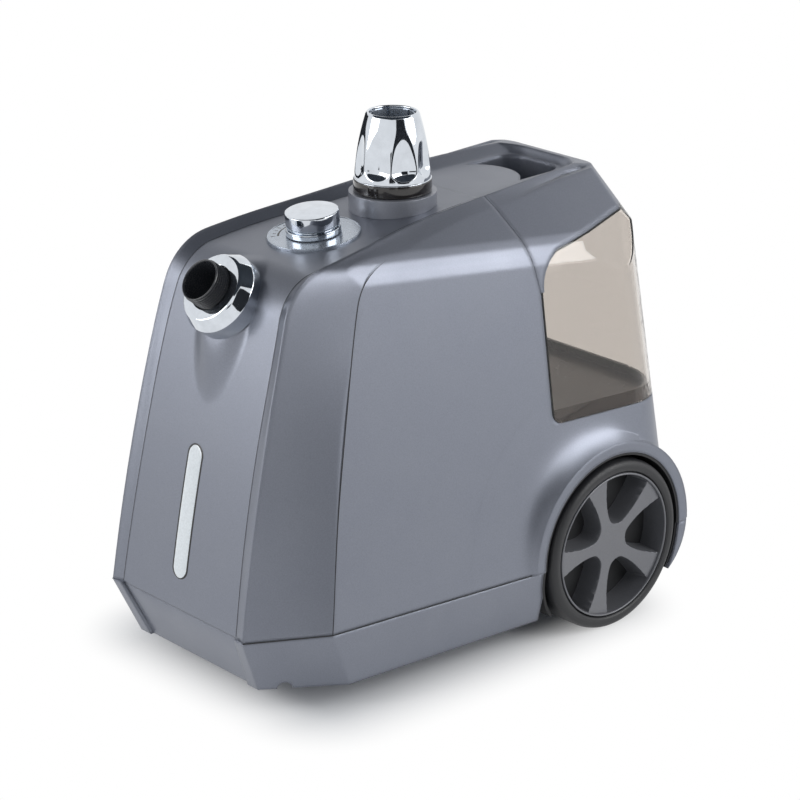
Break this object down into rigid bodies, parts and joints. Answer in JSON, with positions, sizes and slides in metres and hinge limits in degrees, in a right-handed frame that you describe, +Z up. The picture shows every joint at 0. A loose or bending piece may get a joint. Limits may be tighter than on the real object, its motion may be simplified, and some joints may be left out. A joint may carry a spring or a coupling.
{
  "type": "garment steamer base unit",
  "caption": "Wheeled garment steamer base with leaning body, hose outlet, control knob, pole lock nut and lift-off smoke tinted water tank.",
  "frame": {"origin": "middle of the footprint on the floor", "axes": "+Z up, -Y towards the hose outlet at the front, +X across the width towards the side shown in the picture"},
  "size_m": [0.2412, 0.3636, 0.3628],
  "materials": {
    "body_plastic": "satin metallic blue-grey plastic",
    "dark_plastic": "satin dark grey plastic",
    "black_plastic": "matt black plastic",
    "chrome": "bright plated",
    "satin_silver": "satin silver",
    "white_window": "milky translucent plastic",
    "smoke_tank": "smoke tinted clear plastic",
    "tank_floor": "smoke tinted plastic",
    "tyre_rubber": "matt tread",
    "soft_rubber": "soft matt",
    "steel": "plain turned steel",
    "cast_aluminium": "as cast",
    "board": "circuit board"
  },
  "bodies": {
    "housing": {"base_tub": "body_plastic", "upper_shell": "body_plastic", "channel_panel": "body_plastic", "light_window": "white_window", "light_housing": "black_plastic", "light_board": "board", "hose_collar": "chrome", "hose_spigot": "black_plastic", "dial_plate": "satin_silver", "rotary_switch": "black_plastic", "pole_ring": "dark_plastic", "pole_tube": "black_plastic", "tank_seat": "black_plastic", "seat_seal": "soft_rubber", "water_tube": "soft_rubber", "steam_tube": "soft_rubber", "boiler_body": "cast_aluminium", "boiler_gasket": "soft_rubber", "boiler_lid": "cast_aluminium", "heater_ring": "steel", "thermostat": "cast_aluminium", "thermal_fuse": "steel", "boiler_screws": "steel", "axle": "steel", "axle_clips": "steel", "axle_bearers": "black_plastic", "right_well": "dark_plastic", "left_well": "dark_plastic", "terminal_block": "black_plastic", "cord_gland": "soft_rubber", "right_foot": "soft_rubber", "left_foot": "soft_rubber"},
    "right_wheel": {"right_tyre": "tyre_rubber", "right_hub": "dark_plastic"},
    "left_wheel": {"left_tyre": "tyre_rubber", "left_hub": "dark_plastic"},
    "knob": {"knob_skirt": "chrome", "knob_cap": "chrome", "knob_shaft": "steel"},
    "lock_nut": {"lock_nut": "chrome"},
    "collet": {"collet": "dark_plastic"},
    "tank": {"tank_shell": "smoke_tank", "tank_floor": "tank_floor", "tank_cover": "body_plastic", "filler_cap": "black_plastic", "valve_spring": "steel"},
    "valve": {"valve_stem": "black_plastic", "valve_seal": "soft_rubber"}
  },
  "joints": [
    {"name": "right_wheel_spin", "type": "hinge", "parent": "housing", "child": "right_wheel", "pos_m": [0.1053, 0.10759, 0.0612], "axis": [1, 0, 0], "continuous": true},
    {"name": "left_wheel_spin", "type": "hinge", "parent": "housing", "child": "left_wheel", "pos_m": [-0.1053, 0.10759, 0.0612], "axis": [1, 0, 0], "continuous": true},
    {"name": "knob_turn", "type": "hinge", "parent": "housing", "child": "knob", "pos_m": [0, -0.06026, 0.29284], "axis": [0, -0.1115, 0.9938], "range_deg": [0, 240]},
    {"name": "nut_turn", "type": "hinge", "parent": "housing", "child": "lock_nut", "pos_m": [0, 0.00889, 0.3358], "axis": [0, 0, 1], "range_deg": [0, 150]},
    {"name": "collet_slide", "type": "slide", "parent": "housing", "child": "collet", "axis": [0, 0, -1], "range_m": [0, 0.0013]},
    {"name": "tank_lift", "type": "slide", "parent": "housing", "child": "tank", "axis": [0, 0, 1], "range_m": [0, 0.16]},
    {"name": "valve_lift", "type": "slide", "parent": "tank", "child": "valve", "axis": [0, 0, 1], "range_m": [0, 0.003], "stiffness_N_per_m": 150, "deforming": ["valve_spring"]}
  ],
  "couplings": [
    {"joint": "collet_slide", "follows": "nut_turn", "m_per_rad": 0.00045}
  ]
}
